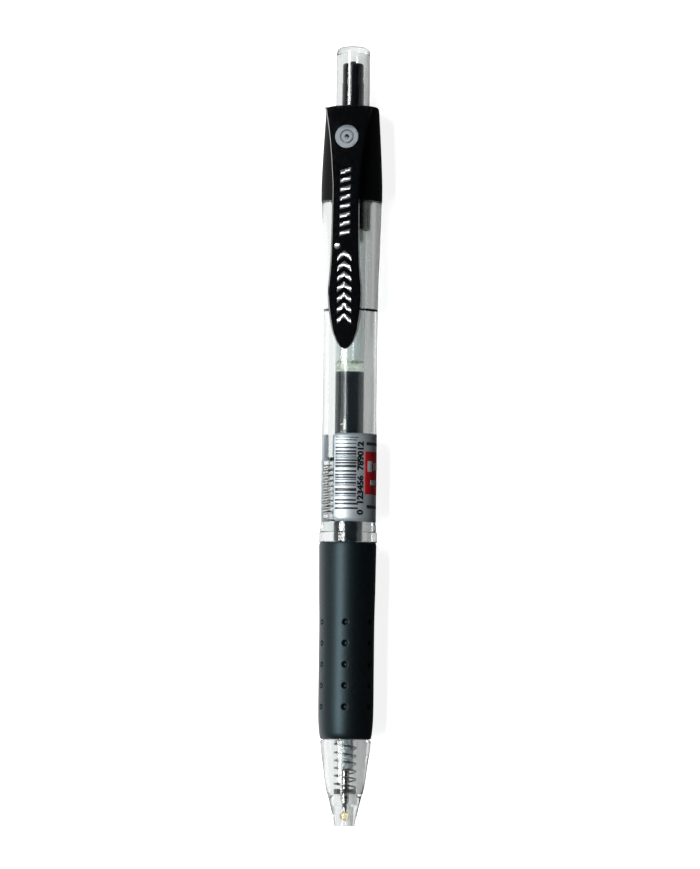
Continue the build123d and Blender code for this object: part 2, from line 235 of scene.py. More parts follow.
def tube_along(path, wire_r, sides):
    """Round wire along a list of points in metres, with capped ends."""
    mesh = bmesh.new()
    rings = []
    for index, place in enumerate(path):
        ahead = path[min(index + 1, len(path) - 1)] - path[max(index - 1, 0)]
        outward = Vector((0, place.y, place.z)).normalized()
        side = ahead.cross(outward).normalized()
        up = side.cross(ahead).normalized()
        ring = []
        for step in range(sides):
            angle = FULL_TURN * step / sides
            ring.append(mesh.verts.new(place + (up * math.cos(angle) + side * math.sin(angle)) * wire_r))
        rings.append(ring)
    for low, high in zip(rings, rings[1:]):
        for step in range(sides):
            following = (step + 1) % sides
            mesh.faces.new([low[step], low[following], high[following], high[step]])
    mesh.faces.new(rings[0])
    mesh.faces.new(rings[-1])
    return mesh


def printed(shapes, place, lift=0.004, thickness=0.012, grain=0.25):
    """Thin print on a surface. Each shape is a list of (sideways, station) corners in millimetres."""
    mesh = bmesh.new()
    for corners in shapes:
        mesh.faces.new([mesh.verts.new((side, station, 0)) for side, station in corners])
    return wrapped(mesh, place, lift, thickness, grain)


def wrapped(mesh, place, lift, thickness, grain):
    """Flat print with (sideways, station) vertices, cut finely, thickened and laid on a surface by place()."""
    for axis in (0, 1):
        values = [vertex.co[axis] for vertex in mesh.verts]
        normal = Vector((1, 0, 0)) if axis == 0 else Vector((0, 1, 0))
        step = grain * (1 if axis == 0 else 4)
        for cut in range(math.ceil(min(values) / step), math.floor(max(values) / step) + 1):
            geometry = mesh.verts[:] + mesh.edges[:] + mesh.faces[:]
            bmesh.ops.bisect_plane(mesh, geom=geometry, plane_co=normal * cut * step, plane_no=normal)
    bmesh.ops.remove_doubles(mesh, verts=mesh.verts, dist=0.002)
    bmesh.ops.dissolve_degenerate(mesh, edges=mesh.edges, dist=0.001)
    raised = bmesh.ops.extrude_face_region(mesh, geom=mesh.faces[:])["geom"]
    for element in raised:
        if isinstance(element, bmesh.types.BMVert):
            element.co.z = 1
    for vertex in mesh.verts:
        side, station, top = vertex.co
        vertex.co = place(side, station, lift + thickness * top)
    return mesh


# ---------------------------------------------------------------- material helpers


def principled(name, **values):
    """Material whose Principled shader has the given socket values."""
    material = bpy.data.materials.new(name)
    material.use_nodes = True
    shader = material.node_tree.nodes["Principled BSDF"]
    for socket, value in values.items():
        shader.inputs[socket.replace("_", " ")].default_value = value
    return material, material.node_tree, shader


def grain_noise(tree, size_mm, detail=2.0, stretch=(1, 1, 1)):
    """Noise in object space whose features are about size_mm across."""
    place = tree.nodes.new("ShaderNodeTexCoord")
    scale = tree.nodes.new("ShaderNodeMapping")
    scale.inputs["Scale"].default_value = stretch
    noise = tree.nodes.new("ShaderNodeTexNoise")
    noise.inputs["Scale"].default_value = 1 / (size_mm * MM)
    noise.inputs["Detail"].default_value = detail
    tree.links.new(place.outputs["Object"], scale.inputs["Vector"])
    tree.links.new(scale.outputs["Vector"], noise.inputs["Vector"])
    return noise


def ramp(tree, value, start, end, low, high):
    """Output that goes from low to high as a value goes from start to end."""
    reach = tree.nodes.new("ShaderNodeMapRange")
    reach.inputs["From Min"].default_value = start
    reach.inputs["From Max"].default_value = end
    reach.inputs["To Min"].default_value = low
    reach.inputs["To Max"].default_value = high
    tree.links.new(value, reach.inputs["Value"])
    return reach.outputs["Result"]


def spread(tree, source, socket, low, high, start=0.3, end=0.7):
    """Drive a shader value from a noise, between low and high."""
    tree.links.new(ramp(tree, source.outputs[0], start, end, low, high), socket)


def tint(tree, source, socket, dark, light, start=0.3, end=0.7):
    """Drive a colour from a value, between two colours."""
    ramp = tree.nodes.new("ShaderNodeValToRGB")
    ramp.color_ramp.elements[0].position = start
    ramp.color_ramp.elements[0].color = (*dark, 1)
    ramp.color_ramp.elements[1].position = end
    ramp.color_ramp.elements[1].color = (*light, 1)
    tree.links.new(source, ramp.inputs["Fac"])
    tree.links.new(ramp.outputs["Color"], socket)


def bump(tree, source, shader, height_mm, strength=1.0):
    """Surface relief of the given height from a noise."""
    relief = tree.nodes.new("ShaderNodeBump")
    relief.inputs["Strength"].default_value = strength
    relief.inputs["Distance"].default_value = height_mm * MM
    tree.links.new(source.outputs[0], relief.inputs["Height"])
    tree.links.new(relief.outputs["Normal"], shader.inputs["Normal"])


# ---------------------------------------------------------------- materials


def clear_plastic():
    """Polished clear styrene with faint flow lines along the pen."""
    material, tree, shader = principled("clear_plastic", Base_Color=(0.94, 0.965, 0.957, 1), Roughness=0.03,
                                        IOR=1.5, Transmission_Weight=1.0)
    flow = grain_noise(tree, 3.0, 1.0, (0.25, 1, 1))
    bump(tree, flow, shader, 0.01, 0.1)
    haze = grain_noise(tree, 1.5, 3.0)
    spread(tree, haze, shader.inputs["Roughness"], 0.01, 0.035)
    return material


def black_gloss():
    """Glossy black moulding with a faint orange-peel skin."""
    material, tree, shader = principled("black_gloss", Base_Color=(0.002, 0.0024, 0.003, 1), Roughness=0.05,
                                        IOR=1.5)
    skin = grain_noise(tree, 2.5, 2.0)
    bump(tree, skin, shader, 0.006, 0.18)
    wear = grain_noise(tree, 0.6, 4.0)
    spread(tree, wear, shader.inputs["Roughness"], 0.03, 0.075)
    return material


def black_plastic():
    """Satin black moulding for the inner mechanism."""
    material, tree, shader = principled("black_plastic", Base_Color=(0.003, 0.003, 0.004, 1), Roughness=0.2,
                                        IOR=1.5)
    skin = grain_noise(tree, 0.3, 3.0)
    bump(tree, skin, shader, 0.008, 0.4)
    spread(tree, skin, shader.inputs["Roughness"], 0.14, 0.24)
    return material


def grip_rubber():
    """Soft black rubber with a fine matt grain and traces of dust."""
    material, tree, shader = principled("grip_rubber", IOR=1.57, Specular_Tint=(0.6, 0.88, 0.98, 1))
    grain = grain_noise(tree, 0.16, 4.0)
    bump(tree, grain, shader, 0.018, 0.8)
    spread(tree, grain, shader.inputs["Roughness"], 0.42, 0.5)
    dust = grain_noise(tree, 0.35, 6.0)
    tint(tree, dust.outputs[0], shader.inputs["Base Color"], (0.0005, 0.001, 0.0015), (0.005, 0.008, 0.01),
         0.45, 0.75)
    return material


def label_film():
    """Silver-grey film with a soft gloss."""
    material, tree, shader = principled("label_film", Metallic=0.6)
    cloud = grain_noise(tree, 2.2, 3.0)
    tint(tree, cloud.outputs[0], shader.inputs["Base Color"], (0.56, 0.65, 0.7), (0.66, 0.74, 0.79))
    ripple = grain_noise(tree, 1.2, 2.0)
    bump(tree, ripple, shader, 0.01, 0.3)
    spread(tree, ripple, shader.inputs["Roughness"], 0.46, 0.52)
    return material


def print_ink(name, colour, roughness=0.35, ior=1.5):
    """Printed ink with slightly uneven cover."""
    material, tree, shader = principled(name, IOR=ior)
    cover = grain_noise(tree, 0.12, 3.0)
    light = tuple(min(1.0, value * 1.18 + 0.004) for value in colour)
    tint(tree, cover.outputs[0], shader.inputs["Base Color"], colour, light)
    spread(tree, cover, shader.inputs["Roughness"], roughness * 0.85, roughness * 1.15)
    return material


def foil():
    """Brushed silver foil print."""
    material, tree, shader = principled("foil", Metallic=0.85, Roughness=0.35)
    brush = grain_noise(tree, 0.15, 4.0, (0.2, 1, 1))
    tint(tree, brush.outputs[0], shader.inputs["Base Color"], (0.42, 0.45, 0.47), (0.66, 0.69, 0.7))
    spread(tree, brush, shader.inputs["Roughness"], 0.28, 0.45)
    bump(tree, brush, shader, 0.004, 0.4)
    return material


def spring_steel():
    """Drawn spring wire."""
    material, tree, shader = principled("spring_steel", Metallic=1.0, Roughness=0.25)
    drawn = grain_noise(tree, 0.08, 3.0)
    tint(tree, drawn.outputs[0], shader.inputs["Base Color"], (0.16, 0.16, 0.17), (0.32, 0.32, 0.33))
    spread(tree, drawn, shader.inputs["Roughness"], 0.2, 0.35)
    return material


def refill_plastic():
    """Slightly milky translucent polypropylene."""
    material, tree, shader = principled("refill_plastic", Base_Color=(0.82, 0.86, 0.85, 1), Roughness=0.06,
                                        IOR=1.49, Transmission_Weight=0.99)
    milk = grain_noise(tree, 1.2, 3.0, (0.3, 1, 1))
    spread(tree, milk, shader.inputs["Roughness"], 0.03, 0.08)
    return cast_light_shadow(material, (0.9, 0.91, 0.91))


def ink():
    """Black gel ink that wets the tube."""
    material, tree, shader = principled("ink", Roughness=0.16, IOR=1.45)
    smear = grain_noise(tree, 1.6, 3.0, (0.25, 1, 1))
    tint(tree, smear.outputs[0], shader.inputs["Base Color"], (0.002, 0.005, 0.008), (0.006, 0.012, 0.018))
    spread(tree, smear, shader.inputs["Roughness"], 0.1, 0.2)
    return material


def grease():
    """Pale follower grease."""
    material, tree, shader = principled("grease", Base_Color=(0.9, 0.9, 0.82, 1), Roughness=0.2, IOR=1.46,
                                        Transmission_Weight=0.85)
    cloud = grain_noise(tree, 0.8, 3.0)
    spread(tree, cloud, shader.inputs["Roughness"], 0.15, 0.35)
    return cast_light_shadow(material, (0.88, 0.88, 0.82))


def holder_plastic():
    """Grey translucent adapter plastic."""
    material, tree, shader = principled("holder_plastic", Base_Color=(0.36, 0.4, 0.42, 1), Roughness=0.3,
                                        IOR=1.49, Transmission_Weight=0.45)
    cloud = grain_noise(tree, 0.7, 3.0)
    tint(tree, cloud.outputs[0], shader.inputs["Base Color"], (0.3, 0.34, 0.36), (0.42, 0.46, 0.48))
    spread(tree, cloud, shader.inputs["Roughness"], 0.22, 0.36)
    return material


def plug_plastic():
    """Natural white plug."""
    material, tree, shader = principled("plug_plastic", Roughness=0.4)
    cloud = grain_noise(tree, 0.5, 3.0)
    tint(tree, cloud.outputs[0], shader.inputs["Base Color"], (0.7, 0.7, 0.67), (0.82, 0.82, 0.79))
    bump(tree, cloud, shader, 0.01, 0.5)
    return material


def tip_metal():
    """Turned nickel silver with fine lathe rings."""
    material, tree, shader = principled("tip_metal", Metallic=1.0, Roughness=0.22)
    rings = grain_noise(tree, 0.05, 2.0, (1, 0.02, 0.02))
    tint(tree, rings.outputs[0], shader.inputs["Base Color"], (0.38, 0.37, 0.35), (0.6, 0.59, 0.57))
    spread(tree, rings, shader.inputs["Roughness"], 0.16, 0.3)
    bump(tree, rings, shader, 0.002, 0.4)
    return material


def carbide():
    """Ground carbide ball."""
    material, tree, shader = principled("carbide", Metallic=1.0, Roughness=0.15)
    grain = grain_noise(tree, 0.03, 2.0)
    tint(tree, grain.outputs[0], shader.inputs["Base Color"], (0.35, 0.35, 0.37), (0.5, 0.5, 0.52))
    return material


def amber():
    """Translucent amber wax whose colour carries painted light: paler where it faces the eye, a painted
    highlight, and deeper towards its rim, painted shade over the wax's own amber.
    """
    material, tree, shader = principled("amber", Roughness=0.1, IOR=1.42, Transmission_Weight=0.97)
    cloud = grain_noise(tree, 0.3, 3.0)
    spread(tree, cloud, shader.inputs["Roughness"], 0.08, 0.18)
    # Painted light: the base colour runs from pale where the bead faces the eye, a painted highlight at its
    # centre, to deep amber at its rim, painted shade.
    rim = tree.nodes.new("ShaderNodeLayerWeight")
    rim.inputs["Blend"].default_value = 0.35
    tint(tree, rim.outputs["Facing"], shader.inputs["Base Color"], (0.96, 0.84, 0.6), (0.6, 0.27, 0.04),
         0.1, 0.55)
    return material


def cast_light_shadow(material, colour):
    """Shadow rays pass the material, dimmed by a colour at each surface, so what it covers stays lit."""
    tree = material.node_tree
    path = tree.nodes.new("ShaderNodeLightPath")
    see_through = tree.nodes.new("ShaderNodeBsdfTransparent")
    see_through.inputs["Color"].default_value = (*colour, 1)
    mix = tree.nodes.new("ShaderNodeMixShader")
    tree.links.new(path.outputs["Is Shadow Ray"], mix.inputs["Fac"])
    tree.links.new(tree.nodes["Principled BSDF"].outputs["BSDF"], mix.inputs[1])
    tree.links.new(see_through.outputs["BSDF"], mix.inputs[2])
    tree.links.new(mix.outputs["Shader"], tree.nodes["Material Output"].inputs["Surface"])
    return material


CLEAR = cast_light_shadow(clear_plastic(), (0.84, 0.86, 0.86))
GLOSS = black_gloss()
SATIN = black_plastic()
FOIL = foil()
SILVER_INK = print_ink("silver_print", (0.23, 0.27, 0.3), 0.4)
BLACK_PRINT = print_ink("black_print", (0.005, 0.006, 0.008), 0.4, 2.1)


# ---------------------------------------------------------------- front section and grip


def thread_ridge(radius, station, turn):
    """Radius of the screw thread: rounded ridges that climb one pitch each turn."""
    if not THREAD_ROOT_R - 0.01 < radius < THREAD_ROOT_R + THREAD_PLAY + 0.01:
        return radius
    along = station - THREAD_START
    length = THREAD_TURNS * THREAD_PITCH
    if not 0 < along < length:
        return radius
    phase = along / THREAD_PITCH - turn / FULL_TURN
    ridge = (0.5 - 0.5 * math.cos(FULL_TURN * phase)) ** 0.8
    fade = min(1.0, along / THREAD_PITCH, (length - along) / THREAD_PITCH)
    return radius + THREAD_DEPTH * ridge * fade


def thread_rows(radius):
    """Rows of points fine enough to carry the thread."""
    steps = THREAD_TURNS * 14
    length = THREAD_TURNS * THREAD_PITCH
    return sharp([(radius, THREAD_START + length * step / steps) for step in range(steps + 1)])


def front_section():
    """Clear nose, grip core, ring and threaded spigot in one moulding."""
    nose = [(1.87, 0, 0.12), (1.92, 0.66), (2.64, 3.75, 0.5), (3.15, 5.8), (3.28, 6.0), (3.66, 7.8, 0.5)]
    nose += [(4.05, 11.0, 0.8), (4.5, 13.9, 0.6), (4.62, GRIP_START - 0.4, 0.2), (4.5, GRIP_START - 0.15, 0.1)]
    seat = [(4.1, GRIP_START - 0.15), (4.1, GRIP_END + 0.05)]
    ring = [(RING_R, GRIP_END + 0.05, 0.22), (RING_R, BARREL_START - 0.02, 0.2)]
    pilot = [(4.55, BARREL_START - 0.02), (4.55, 55.4, 0.15), (THREAD_ROOT_R, THREAD_START - 0.1)]
    bore = [(3.5, SPIGOT_END, 0.1), (2.9, SPIGOT_END, 0.1), (2.9, 22.0, 0.5), (2.35, 5.94), (1.6, 5.94)]
    bore += [(1.6, 4.1, 0.15), (1.15, 3.6, 0.15), (1.15, 0, 0.1)]
    spigot = [*thread_rows(THREAD_ROOT_R), (THREAD_ROOT_R, SPIGOT_END, 0.15)]
    outline = rounded([*nose, *seat, *ring, *pilot, *spigot, *bore], 0.08)
    made = piece("front_section", turned(outline, shape=thread_ridge), "front", ["front_section"],
                 CLEAR)
    return keep_edges_crisp(made)


def bunched(centres, reach, step, low, high, coarse):
    """Values from low to high that lie close together within reach of each centre."""
    values = {low, high}
    count = round(2 * reach / step)
    for centre in centres:
        values.update(centre - reach + step * index for index in range(count + 1))
    ordered = sorted(values)
    filled = []
    for start, end in zip(ordered, ordered[1:]):
        parts = max(1, math.ceil((end - start) / coarse))
        filled += [start + (end - start) * part / parts for part in range(parts)]
    return [*filled, high]


def grip_wall():
    """Outside of the grip as a function of station."""
    points = [(4.7, GRIP_START + 0.25), (4.88, 17.4), (5.05, 20.5), (5.05, 29.0), (5.05, 37.0), (5.15, 42.5),
              (5.2, 47.0), (widest("grip_sleeve"), GRIP_END - 0.5)]
    return smooth_curve(points, 12)


def radius_on(curve, station):
    """Radius of a sampled curve at a station."""
    for (low_r, low), (high_r, high) in zip(curve, curve[1:]):
        if low <= station <= high:
            return low_r + (high_r - low_r) * (station - low) / (high - low)
    return curve[0][0] if station < curve[0][1] else curve[-1][0]


def dimpled(radius, station, turn):
    """Grip radius with the round dimples pressed in: bowls whose rims blend softly into the wall."""
    inner_limit, rim, reach = 4.55, 0.12, 1.0
    if radius < inner_limit:
        return radius
    column_step = FULL_TURN / DIMPLE_COLUMNS
    offset = (turn - DIMPLE_FIRST_TURN + column_step / 2) % column_step - column_step / 2
    nearest = min(DIMPLE_STATIONS, key=lambda place: abs(place - station))
    distance = math.hypot(offset * radius, station - nearest)
    if distance >= reach:
        return radius
    bowl = 1 - (distance / DIMPLE_R) ** 2
    return radius - DIMPLE_DEPTH * (bowl + math.sqrt(bowl**2 + rim**2)) / 2


def grip_sleeve():
    """Rubber grip with rows of round dimples."""
    fine, reach, coarse = 0.05, DIMPLE_R + 0.12, 1.0
    wall = grip_wall()
    stations = bunched(DIMPLE_STATIONS, reach, fine, wall[0][1], wall[-1][1], coarse)
    rows = sharp([(radius_on(wall, station), station) for station in stations])
    foot = [(4.14, GRIP_START, 0.05), (4.42, GRIP_START, 0.12)]
    rim = [(5.15, GRIP_END, 0.12), (4.14, GRIP_END, 0.05)]
    outline = rounded([*foot, *rows, *rim], 0.1)
    column_step = FULL_TURN / DIMPLE_COLUMNS
    centres = [DIMPLE_FIRST_TURN + column_step * column for column in range(DIMPLE_COLUMNS)]
    start = DIMPLE_FIRST_TURN - column_step / 2
    turns = bunched(centres, reach / 5.05, fine / 5.05, start, start + FULL_TURN, 0.06)[:-1]
    return piece("grip_sleeve", turned(outline, turns, dimpled), "front", ["grip_sleeve"],
                 grip_rubber())


# ---------------------------------------------------------------- barrel, label and collar


def barrel():
    """Clear tube with a gentle waist, an internal thread and a stepped bore."""
    shoulder, spigot_r, step = COLLAR_START - 0.05, 4.58, 94.2
    skirt = [(5.12, BARREL_START, 0.1), (5.12, 54.8, 0.15), (5.0, 55.2, 0.2), (5.0, 72.2, 0)]
    waist = smooth_curve([(5.0, 72.2), (4.97, 76), (4.97, 90), (5.08, 100), (5.25, 105), (5.5, shoulder - 0.1)])
    spigot = [(5.5, shoulder), (spigot_r, shoulder), (spigot_r, BARREL_END)]
    bore = [(3.87, BARREL_END), (3.87, step + 0.3, 0.15), (3.05, step, 0.1), (3.05, SPIGOT_END + 0.7, 0.2)]
    root = THREAD_ROOT_R + THREAD_PLAY
    socket = [(root, SPIGOT_END + 0.1), *reversed(thread_rows(root)), (4.63, 55.48), (4.63, BARREL_START, 0.1)]
    outline = rounded([*skirt, *sharp(waist[1:]), *spigot, *bore, *socket], 0.08)
    made = piece("barrel", turned(outline, shape=thread_ridge), "barrel", ["barrel"], CLEAR)
    return keep_edges_crisp(made)


def label_outline():
    """Unrolled label as (sideways, station) corners, with rounded corners."""
    left, right = (turn * LABEL_R for turn in LABEL_TURNS)
    corners = [(left, LABEL_START), (right, LABEL_START), (right, LABEL_END), (left, LABEL_END)]
    return rounded([(*corner, LABEL_CORNER_R) for corner in corners], LABEL_CORNER_R, steps=8)


def barcode_label():
    """Film label that wraps most of the way round the barrel."""
    inner_r = 4.995
    mesh = printed([label_outline()], on_label, inner_r - LABEL_R, LABEL_R - inner_r, 0.3)
    return piece("barcode_label", mesh, "barrel", ["barcode_label"], label_film())


def on_label(side, station, height):
    """Point at a height above the label's outside."""
    return spot(LABEL_R + height, station, side / LABEL_R + LABEL_SLIP)


def oblong(left, right, low, high):
    """Corners of a rectangle of print, between two turns in degrees and two stations."""
    sides = (math.radians(left) * LABEL_R, math.radians(right) * LABEL_R)
    return [(sides[0], low), (sides[1], low), (sides[1], high), (sides[0], high)]


def barcode_bars():
    """Bars stacked along the pen, of random widths, with longer guard bars at the ends and in the middle."""
    chance = random.Random(11)
    unit, low, high = 0.165, 57.7, 70.9
    bars, place, count = [], low, 0
    while place < high:
        width = unit * chance.choice((1, 1, 1, 2, 2, 3))
        guard = count in (0, 1, 14, 15) or place > high - 3 * unit
        bars.append(oblong(-21.5, 27 if guard else 23, place, min(place + width, high)))
        place += width + unit * chance.choice((1, 1, 2, 2, 3))
        count += 1
    return bars


def digits(text, size, side, station, length):
    """Plain figures that fill a length along the pen, as a flat mesh of (sideways, station) vertices."""
    curve = bpy.data.curves.new("figures", "FONT")
    curve.body = text
    curve.size = size
    curve.offset = size * 0.05
    curve.resolution_u = 4
    holder = bpy.data.objects.new("figures", curve)
    bpy.context.scene.collection.objects.link(holder)
    flat = bmesh.new()
    flat.from_mesh(holder.to_mesh())
    holder.to_mesh_clear()
    bpy.data.objects.remove(holder)
    bpy.data.curves.remove(curve)
    stretch = length / max(vertex.co.x for vertex in flat.verts)
    for vertex in flat.verts:
        vertex.co = Vector((side - vertex.co.y, station + vertex.co.x * stretch, 0))
    return flat


def label_print():
    """Generic print on the label: bars, figures, a red panel and short lines."""
    piece("label_bars", printed(barcode_bars(), on_label), "barrel", [], BLACK_PRINT)
    baseline = math.radians(38.2) * LABEL_R
    figures = digits("0  123456  789012", 1.62, baseline, 56.7, 13.4)
    black = print_ink("figures_print", (0.002, 0.003, 0.004), 0.4)
    piece("label_figures", wrapped(figures, on_label, 0.004, 0.012, 0.25), "barrel", [], black)
    red = print_ink("red_print", (0.56, 0.008, 0.014), 0.3)
    piece("label_panel", printed([oblong(42.5, 128, 60.5, 68.3)], on_label), "barrel", [], red)
    white = print_ink("white_print", (0.62, 0.66, 0.66), 0.3)
    marks = [oblong(50, 64, 64.6, 66.6), oblong(70, 122, 64.9, 66.3), oblong(58, 118, 62.2, 63.1)]
    piece("label_marks", printed(marks, on_label, 0.018), "barrel", [], white)
    lines = [oblong(46, 108, 69.45, 70.0), oblong(48, 84, 57.9, 58.5), oblong(90, 120, 57.9, 58.5)]
    lines += [oblong(150, 262, 58.2 + 1.5 * row, 58.55 + 1.5 * row) for row in range(8)]
    piece("label_lines", printed(lines, on_label), "barrel", [], BLACK_PRINT)


def collar_wall(extra=0.0):
    """Outside of the collar, moved outwards by extra: straight skirt, then a gentle taper."""
    skirt_end, taper, roundness, span = 117.0, 0.72, 1.25, 14.0
    stations = [COLLAR_START + 0.6 * step for step in range(29)]
    wall = []
    for station in (s for s in stations if s < COLLAR_END - 0.7):
        share = max(0.0, station - skirt_end) / span
        wall.append((COLLAR_R - taper * share**roundness + extra, station))
    return wall


def clip_collar():
    """Glossy cap over the barrel's end."""
    wall = collar_wall()
    hole_r, lip, spigot_r = 3.15, 130.4, 4.6
    skirt = [(COLLAR_R, COLLAR_START, 0.12)]
    top = [(4.8, COLLAR_END, 0.75), (hole_r, COLLAR_END, 0.14)]
    bore = [(hole_r, lip, 0.05), (spigot_r, lip, 0.05), (spigot_r, COLLAR_START, 0.08)]
    outline = rounded([*skirt, *sharp(wall[1:]), *top, *bore], 0.1, steps=8)
    made = piece("clip_collar", turned(outline), "barrel", ["clip_collar"], GLOSS)
    return keep_edges_crisp(made)


# ---------------------------------------------------------------- clip


CLIP_CROWN_R = 400.0
CLIP_ACROSS = [-1, -0.96, -0.8, -0.6, -0.4, -0.2, 0, 0.2, 0.4, 0.6, 0.8, 0.96, 1]
CLIP_OUTSIDE = smooth_curve([(6.35, CLIP_TIP), (6.62, 89), (6.95, 91.5), (7.28, 97), (7.38, 106), (7.23, 114),
                             (6.75, 121.5), (6.2, 127), (5.55, CLIP_TOP)], 10)
CLIP_UNDERSIDE = [(5.7, CLIP_TIP), (5.2, 91.2), (5.2, 92.6)]
CLIP_UNDERSIDE += smooth_curve([(5.2, 92.6), (5.75, 96), (6.15, 102), (6.2, 110), (5.95, 116), (5.73, 119.0)])[1:]
CLIP_UNDERSIDE += [row for row in collar_wall(0.1) if row[1] > 119.2]
CLIP_TIP_SPREAD = 1.32
CLIP_HALF_WIDTH = [(CLIP_TIP_SPREAD * math.sqrt(depth), CLIP_TIP + depth)
                   for depth in (0.0, 0.01, 0.03, 0.07, 0.14, 0.25, 0.4, 0.6, 0.85, 1.15)]
CLIP_HALF_WIDTH += smooth_curve([(CLIP_TIP_SPREAD * math.sqrt(1.5), CLIP_TIP + 1.5), (2.4, 90.9), (3.05, 96.6),
                                 (2.6, 103.4), (2.45, 114.5), (2.65, 119.1), (3.25, 125.4), (4.25, CLIP_TOP)], 10)


def clip_section(station, edge):
    """Loop of points round the clip at one station, with rounded edges."""
    outer = radius_on(CLIP_OUTSIDE, station)
    inner = radius_on(CLIP_UNDERSIDE, station)
    half = max(0.08, radius_on(CLIP_HALF_WIDTH, station))
    for from_end, roll in ((station - CLIP_TIP, 0.5), (CLIP_TOP - station, edge)):
        if from_end < roll:
            outer -= roll - math.sqrt(roll**2 - (roll - from_end) ** 2)
    outer = max(outer, inner + 0.06)
    fillet = min(edge, half * 0.45, (outer - inner) * 0.45)
    loop = []
    for share in CLIP_ACROSS:
        side = (half - fillet) * share
        loop.append((side, outer - side**2 / (2 * CLIP_CROWN_R)))
    for way in (1, -1):
        corner = half - fillet
        top = outer - corner**2 / (2 * CLIP_CROWN_R) - fillet
        bottom = math.sqrt(inner**2 - corner**2) + fillet * 0.5
        arc = [(corner + fillet * math.sin(a), top + fillet * math.cos(a))
               for a in (math.pi / 8 * step for step in range(1, 5))]
        heel = [(half, bottom), (half - fillet * 0.5, bottom - fillet * 0.5)]
        flank = [(side * way, height) for side, height in arc + heel]
        if way == 1:
            loop += flank
            for share in reversed(CLIP_ACROSS):
                side = (half - fillet) * share
                loop.append((side, math.sqrt(inner**2 - side**2)))
        else:
            loop += reversed(flank)
    return loop


def pocket_clip():
    """Sprung clip with a leaf-shaped blade and a head that wraps the collar."""
    edge, count = 0.14, 110
    stations = [CLIP_TIP + 0.008 * step**2 for step in range(13)]
    start, end = stations[-1], CLIP_TOP - 0.3
    stations += [start + (end - start) * step / count for step in range(1, count + 1)]
    stations += [CLIP_TOP - gap for gap in (0.2, 0.12, 0.06, 0.02, 0.0)]
    mesh = bmesh.new()
    rings = []
    for station in stations:
        loop = clip_section(station, edge)
        rings.append([mesh.verts.new(Vector((station, -side, height)) * MM) for side, height in loop])
    for low, high in zip(rings, rings[1:]):
        for index in range(len(low)):
            following = (index + 1) % len(low)
            mesh.faces.new([low[index], low[following], high[following], high[index]])
    mesh.faces.new(rings[0])
    mesh.faces.new(rings[-1])
    made = piece("pocket_clip", mesh, "clip", ["pocket_clip"], GLOSS)
    return keep_edges_crisp(made)


def on_clip(side, station, height):
    """Point at a height above the clip's face, which is almost flat across."""
    face = radius_on(CLIP_OUTSIDE, station) - side**2 / (2 * CLIP_CROWN_R)
    return Vector((station, -side, face + height)) * MM


def slanted(left, right, low, width, lean):
    """Corners of a leaning bar across the clip."""
    return [(left, low), (left, low + width), (right, low + width + lean), (right, low + lean)]


def chevron(half, low, width, rise):
    """Corners of an arrowhead that points along the clip."""
    lower = [(-half, low), (0, low + rise), (half, low)]
    return [*lower, *[(side, station + width) for side, station in reversed(lower)]]


def clip_print():
    """Generic foil bars and a dot along the blade."""
    bars = []
    for row in range(7):
        bars.append(chevron(1.3, 91.4 + 1.9 * row, 0.95, 1.05))
    for row in range(8):
        bars.append(slanted(-1.0, 1.0, 107.4 + 1.62 * row, 0.8, 0.55))
    dot_r, dot_side, dot_station = 0.58, -1.35, 105.6
    dot = [(dot_side + dot_r * math.cos(turn), dot_station + dot_r * math.sin(turn)) for turn in even_turns(24)]
    made = piece("clip_print", printed([*bars, dot], on_clip), "clip", [], FOIL)
    return made


def round_print(radius, hole, station):
    """Ring of print as short flat pieces round a centre on the clip's middle line."""
    quads = []
    turns = even_turns(48)
    for start, end in zip(turns, turns[1:] + turns[:1]):
        corners = [(radius, start), (radius, end), (hole, end), (hole, start)]
        quads.append([(r * math.cos(turn), station + r * math.sin(turn)) for r, turn in corners])
    return quads


def size_disc():
    """Foil disc on the clip's head with a ring and a dot printed on it."""
    circle = [(DISC_R * math.cos(turn), DISC_STATION + DISC_R * math.sin(turn)) for turn in even_turns(96)]
    disc = printed([circle], on_clip, 0.01, 0.06, 0.2)
    piece("size_disc", disc, "clip", ["size_disc"], SILVER_INK)
    dot = [(0.42 * math.cos(turn), DISC_STATION + 0.42 * math.sin(turn)) for turn in even_turns(32)]
    marks = [*round_print(1.3, 1.02, DISC_STATION), dot]
    raised = printed(marks, on_clip, 0.072, 0.01, 0.2)
    piece("size_mark", raised, "clip", [], BLACK_PRINT)


# ---------------------------------------------------------------- knock mechanism


def knock_button():
    """Clear hollow cap with a domed shoulder."""
    flange, ceiling = BUTTON_START + 0.8, PEN_LENGTH - 1.3
    foot = [(3.3, BUTTON_START), (3.3, flange), (3.05, flange, 0.04)]
    crown = smooth_curve([(3.05, PEN_LENGTH - 1.05), (2.98, PEN_LENGTH - 0.72), (2.72, PEN_LENGTH - 0.36),
                          (2.3, PEN_LENGTH - 0.15), (1.6, PEN_LENGTH - 0.03), (0.8, PEN_LENGTH)], 6)
    cavity = [(0.0, ceiling, 0), (2.6, ceiling, 0.3), (2.6, BUTTON_START)]
    outline = rounded([*foot, *sharp(crown), (0.0, PEN_LENGTH, 0), *cavity], 0.06, steps=6)
    made = piece("knock_button", turned(outline), "button", ["knock_button"], CLEAR)
    return keep_edges_crisp(made)


# ---------------------------------------------------------------- refill


def refill_tube():
    """Translucent ink tube."""
    outline = rounded([(TUBE_R, TUBE_START), (TUBE_R, TUBE_END), (2.3, TUBE_END), (2.3, TUBE_START)], 0.06)
    made = piece("refill_tube", turned(outline), "refill", ["refill_tube"], refill_plastic())
    return keep_edges_crisp(made)


def ink_column():
    """Ink that wets the tube's bore."""
    points = [(0.0, INK_START, 0), (WET_R, INK_START), (WET_R, INK_END), (0.0, INK_END, 0)]
    made = piece("ink_column", turned(rounded(points, 0.1), closed=False), "refill", ["ink_column"], ink())
    return keep_edges_crisp(made)


